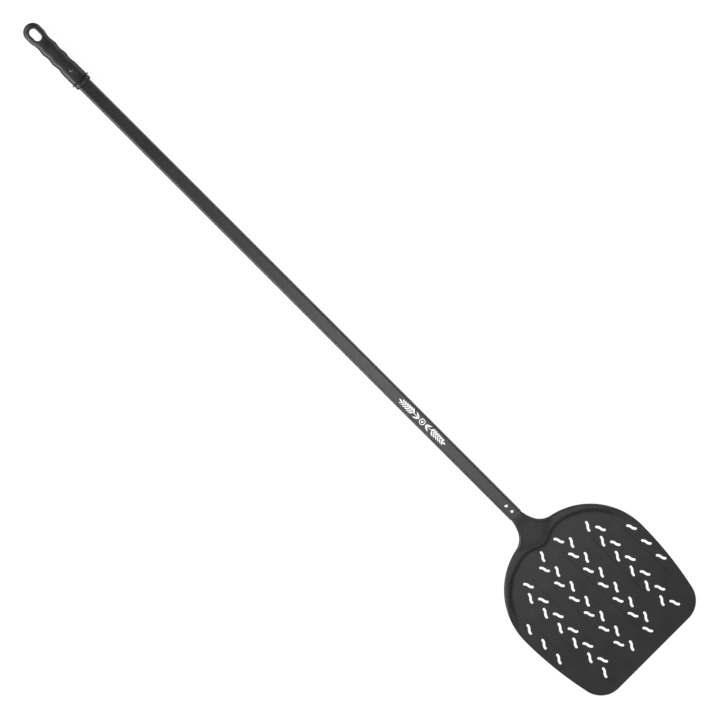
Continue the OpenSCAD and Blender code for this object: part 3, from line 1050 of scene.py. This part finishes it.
def stem(side):
    """A stem that bends gently as it runs out from the ring."""
    xs = np.linspace(STEM_FROM, STEM_TO, 12)
    arch = np.sin((xs - STEM_FROM) / (STEM_TO - STEM_FROM) * math.pi) / 2
    half = np.linspace(0.5, 0.3, len(xs))
    upper = [np.array([side * x, z + h]) for x, z, h in zip(xs, arch, half)]
    lower = [np.array([side * x, z - h]) for x, z, h in zip(xs, arch, half)]
    return upper + lower[::-1]


def ornament_outlines():
    """Leaves in pairs along a stem on each side, with a pointed one at its end and two at its root."""
    outlines = []
    for side in (1, -1):
        outlines.append(stem(side))
        out_a = 0 if side > 0 else 180
        for k in range(LEAF_PAIRS):
            x = side * (LEAF_FROM + LEAF_PITCH * k)
            size = LEAF_L - LEAF_TAPER * k
            for lean in (1, -1):
                base = np.array([x + side * (LEAF_STAGGER if lean < 0 else 0), 0.4 + lean * 0.7])
                outlines.append(leaf(base, out_a + side * lean * LEAF_LEAN, size, LEAF_W))
        outlines.append(leaf(np.array([side * STEM_TO, 0.3]), out_a, 10, 3.0))
        for lean in (1, -1):
            root = np.array([side * STEM_FROM, lean * 0.8])
            outlines.append(leaf(root, out_a + side * lean * 26, 15, 3.2))
    outlines.append([turn(a) * DOT_R for a in range(0, 360, 18)])
    return outlines


def ornament_ring(n=48):
    """A flat ring, as an outer and an inner loop."""
    loop = [turn(360 * k / n) for k in range(n)]
    return [p * RING_R for p in loop], [p * (RING_R - RING_W) for p in loop]


def ornament(material):
    low, high = TUBE_TOP - PRINT_SINK, TUBE_TOP + PRINT_T
    points, faces = [], []
    for outline in ornament_outlines():
        n, base = len(outline), len(points)
        points += [[p[0], p[1], z] for z in (low, high) for p in outline]
        faces += [tuple(range(base, base + n)), tuple(range(base + n, base + 2 * n))]
        steps = [(base + k, base + (k + 1) % n) for k in range(n)]
        faces += [(a, b, b + n, a + n) for a, b in steps]
    outer, inner = ornament_ring()
    chain = [(outer, low), (outer, high), (inner, high), (inner, low)]
    ring_points, ring_faces = loft([np.array([[p[0], p[1], z] for p in loop]) for loop, z in chain], True)
    faces += [tuple(i + len(points) for i in f) for f in ring_faces]
    points = np.vstack([points, ring_points]) + [PRINT_X, 0, 0]
    return mesh_piece("printed_ornament", points, faces, material, "print_ink", 30)


# ---- Materials

def add(tree, kind, **values):
    """A node with its input sockets set by name."""
    node = tree.nodes.new("ShaderNode" + kind)
    for name, value in values.items():
        socket = node.inputs[name.replace("_", " ")]
        if isinstance(value, bpy.types.NodeSocket):
            tree.links.new(value, socket)
        else:
            socket.default_value = value
    return node


def new_material(name, metallic=0.0, specular=0.5):
    material = bpy.data.materials.new(name)
    material.use_nodes = True
    tree = material.node_tree
    surface = tree.nodes["Principled BSDF"]
    surface.inputs["Metallic"].default_value = metallic
    surface.inputs["Specular IOR Level"].default_value = specular
    return material, tree, surface


def grain(tree, size, stretch=(1, 1, 1), detail=3.0, roughness=0.55):
    """Noise with spots of about this size in millimetres, drawn out by a stretch along each axis."""
    place = add(tree, "TexCoord").outputs["Object"]
    scaled = add(tree, "Mapping", Vector=place, Scale=[1 / (size * MM * f) for f in stretch])
    place = scaled.outputs["Vector"]
    noise = add(tree, "TexNoise", Vector=place, Scale=1.0, Detail=detail, Roughness=roughness)
    return noise.outputs["Fac"]


def between(tree, value, low, high, at=(0.3, 0.7)):
    """A noise value carried into a range."""
    node = add(tree, "MapRange", Value=value)
    for name, number in zip(("From Min", "From Max", "To Min", "To Max"), (*at, low, high)):
        node.inputs[name].default_value = number
    return node.outputs["Result"]


def total(tree, *values):
    """The sum of some values."""
    result = values[0]
    for value in values[1:]:
        node = tree.nodes.new("ShaderNodeMath")
        node.operation = "ADD"
        tree.links.new(result, node.inputs[0])
        tree.links.new(value, node.inputs[1])
        result = node.outputs[0]
    return result


def grey(tree, value, dark, light):
    """A value from 0 to 1 as a colour between two."""
    ramp = tree.nodes.new("ShaderNodeValToRGB")
    ramp.color_ramp.elements[0].color = (*dark, 1)
    ramp.color_ramp.elements[1].color = (*light, 1)
    tree.links.new(value, ramp.inputs["Fac"])
    return ramp.outputs["Color"]


def relief(tree, height, depth, strength=1.0, normal=None):
    """A bump of this depth in millimetres."""
    node = add(tree, "Bump", Height=height, Strength=strength, Distance=depth * MM)
    if normal is not None:
        tree.links.new(normal, node.inputs["Normal"])
    return node.outputs["Normal"]


def blade_metal():
    """Hard-anodised sheet: a fine satin grain, faint cloudiness and long thin handling marks."""
    material, tree, surface = new_material("black_anodised_sheet", specular=0.32)
    clouds = grain(tree, 45, detail=4)
    fine = grain(tree, 0.5, detail=2)
    marks = grain(tree, 1.2, stretch=(30, 1, 1), detail=3, roughness=0.7)
    shade = between(tree, total(tree, clouds, fine), 0, 1, (0.7, 1.3))
    colour = grey(tree, shade, (0.005, 0.005, 0.0051), (0.010, 0.010, 0.0102))
    tree.links.new(colour, surface.inputs["Base Color"])
    rough = total(tree, between(tree, clouds, 0.43, 0.47), between(tree, marks, -0.03, 0.05, (0.45, 0.8)))
    tree.links.new(rough, surface.inputs["Roughness"])
    tree.links.new(relief(tree, fine, 0.02, 0.35), surface.inputs["Normal"])
    return material


def tube_metal():
    """Anodised extrusion: fine lines along its length under a satin finish, bare where it is cut, and that
    light grey cut end is also a painted highlight along the seam.
    """
    material, tree, surface = new_material("black_anodised_tube", specular=0.38)
    lines = grain(tree, 0.35, stretch=(400, 1, 1), detail=4, roughness=0.6)
    clouds = grain(tree, 60, stretch=(3, 1, 1), detail=3)
    fine = grain(tree, 0.4, detail=2)
    shade = between(tree, total(tree, clouds, lines), 0, 1, (0.7, 1.3))
    colour = grey(tree, shade, (0.006, 0.006, 0.0061), (0.012, 0.012, 0.0122))
    along = add(tree, "SeparateXYZ", Vector=add(tree, "TexCoord").outputs["Object"]).outputs["X"]
    # Light grey at the tube's cut end: partly the bare metal of the cut, partly a painted highlight along
    # the seam with the blade.
    bare_end_and_highlight = between(tree, along, 0, 1, ((tube_hi[0] - CUT_EDGE) * MM, (tube_hi[0] - CUT_EDGE / 2) * MM))
    bare = add(tree, "MixRGB", Fac=bare_end_and_highlight, Color1=colour, Color2=(0.4, 0.4, 0.41, 1))
    tree.links.new(bare.outputs["Color"], surface.inputs["Base Color"])
    rough = total(tree, between(tree, lines, 0.36, 0.44), between(tree, clouds, -0.02, 0.02))
    tree.links.new(rough, surface.inputs["Roughness"])
    first = relief(tree, lines, 0.02, 0.3)
    tree.links.new(relief(tree, fine, 0.01, 0.3, first), surface.inputs["Normal"])
    return material


def rivet_metal():
    """Bright bare aluminium with faint rings from setting."""
    material, tree, surface = new_material("bare_aluminium", metallic=1.0)
    spots = grain(tree, 0.6, detail=4)
    tree.links.new(grey(tree, spots, (0.80, 0.80, 0.81), (0.93, 0.93, 0.94)), surface.inputs["Base Color"])
    tree.links.new(between(tree, spots, 0.26, 0.42), surface.inputs["Roughness"])
    tree.links.new(relief(tree, spots, 0.03, 0.3), surface.inputs["Normal"])
    return material


def grip_plastic():
    """Black moulded plastic with a fine spark-eroded texture, a little smoother where hands rub it."""
    material, tree, surface = new_material("black_moulded_plastic", specular=0.36)
    pits = grain(tree, 0.45, detail=3, roughness=0.6)
    patches = grain(tree, 28, detail=3)
    shade = between(tree, total(tree, pits, patches), 0, 1, (0.7, 1.3))
    colour = grey(tree, shade, (0.006, 0.006, 0.0061), (0.012, 0.012, 0.0122))
    tree.links.new(colour, surface.inputs["Base Color"])
    tree.links.new(between(tree, patches, 0.38, 0.48), surface.inputs["Roughness"])
    tree.links.new(relief(tree, pits, 0.08, 0.5), surface.inputs["Normal"])
    return material


def screw_metal():
    """Blackened steel, bright where the coating has rubbed off."""
    material, tree, surface = new_material("blackened_steel", metallic=1.0)
    spots = grain(tree, 0.9, detail=4, roughness=0.7)
    worn = between(tree, spots, 0, 1, (0.52, 0.62))
    tree.links.new(grey(tree, worn, (0.05, 0.05, 0.05), (0.5, 0.5, 0.51)), surface.inputs["Base Color"])
    tree.links.new(between(tree, spots, 0.5, 0.3), surface.inputs["Roughness"])
    tree.links.new(relief(tree, spots, 0.03, 0.4), surface.inputs["Normal"])
    return material


def print_ink():
    """Pale pad-printed ink, a little thin in places."""
    material, tree, surface = new_material("pale_print", specular=0.4)
    thin = grain(tree, 0.5, detail=4)
    shade = between(tree, thin, 0, 1, (0.25, 0.5))
    colour = grey(tree, shade, (0.45, 0.45, 0.45), (0.85, 0.85, 0.85))
    tree.links.new(colour, surface.inputs["Base Color"])
    tree.links.new(between(tree, thin, 0.5, 0.65), surface.inputs["Roughness"])
    tree.links.new(relief(tree, thin, 0.01, 0.3), surface.inputs["Normal"])
    return material


# ---- The object

metal = tube_metal()
sheet = blade(blade_metal())
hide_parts("blade")
handle_tube(metal)
bare = rivet_metal()
rivet("front_rivet", "rivet_front", bare)
rivet("rear_rivet", "rivet_rear", bare)
grip(grip_plastic())
grip_screw(screw_metal())
ornament(print_ink())


# ---- Floor, light and camera

BACKDROP = 0.9
HORIZON = 0.8
ZENITH = 0.03
PHOTO_MIDDLE = (0.0622, -0.0006)


def floor():
    """A plain pale floor under everything."""
    mesh = bpy.data.meshes.new("floor")
    size = 12
    corners = [(-size, -size, 0), (size, -size, 0), (size, size, 0), (-size, size, 0)]
    mesh.from_pydata(corners, [], [(0, 1, 2, 3)])
    plane = bpy.data.objects.new("floor", mesh)
    bpy.context.scene.collection.objects.link(plane)
    material, tree, surface = new_material("pale_floor", specular=0.2)
    surface.inputs["Base Color"].default_value = (0.1, 0.1, 0.1, 1)
    surface.inputs["Roughness"].default_value = 0.8
    surface.inputs["Emission Color"].default_value = (1, 1, 1, 1)
    lift = tree.nodes.new("ShaderNodeMath")
    lift.operation = "MULTIPLY"
    lift.inputs[1].default_value = BACKDROP
    tree.links.new(tree.nodes.new("ShaderNodeLightPath").outputs["Is Camera Ray"], lift.inputs[0])
    tree.links.new(lift.outputs[0], surface.inputs["Emission Strength"])
    mesh.materials.append(material)


def softbox(name, place, target, size, power):
    """A soft rectangular light that the camera doesn't see."""
    data = bpy.data.lights.new(name, "AREA")
    data.shape = "RECTANGLE"
    data.size, data.size_y = size
    data.energy = power
    light = bpy.data.objects.new(name, data)
    light.location = place
    light.rotation_euler = (Vector(target) - Vector(place)).to_track_quat("-Z", "Y").to_euler()
    light.visible_camera = False
    bpy.context.scene.collection.objects.link(light)


def camera():
    """Straight above, with the peel from the top left to the bottom right of the picture."""
    height = 12.0
    seen_across = 1.5696
    data = bpy.data.cameras.new("camera")
    data.sensor_width = 36
    data.lens = 36 * height / seen_across
    view = bpy.data.objects.new("camera", data)
    view.location = (*PHOTO_MIDDLE, height)
    view.rotation_euler = (0, 0, math.radians(45))
    bpy.context.scene.collection.objects.link(view)
    bpy.context.scene.camera = view


def world():
    """A pale backdrop that lights the object only a little."""
    scene = bpy.context.scene
    scene.world = bpy.data.worlds.new("studio")
    scene.world.use_nodes = True
    tree = scene.world.node_tree
    background = tree.nodes["Background"]
    background.inputs["Color"].default_value = (1, 1, 1, 1)
    height = add(tree, "SeparateXYZ", Vector=add(tree, "TexCoord").outputs["Generated"]).outputs["Z"]
    around = between(tree, height, HORIZON, ZENITH, (0, 0.7))
    seen = add(tree, "LightPath").outputs["Is Camera Ray"]
    level = add(tree, "MapRange", Value=seen, To_Min=around, To_Max=BACKDROP)
    tree.links.new(level.outputs["Result"], background.inputs["Strength"])
    scene.view_settings.view_transform = "Standard"


floor()
softbox("overhead", (0.2, 0.0, 1.9), (0.2, 0, 0), (0.7, 0.7), 16)
softbox("front", (2.2, 0.0, 2.0), (0.6, 0, 0), (1.6, 0.6), 21)
softbox("back", (-2.4, -0.5, 1.1), (-0.9, 0, 0), (1.4, 1.0), 26)
softbox("near_side", (-0.6, -1.7, 1.0), (-0.35, 0, 0), (2.4, 0.7), 78)
softbox("far_side", (-0.2, 1.8, 0.7), (-0.1, 0, 0), (2.4, 0.8), 30)
world()
camera()
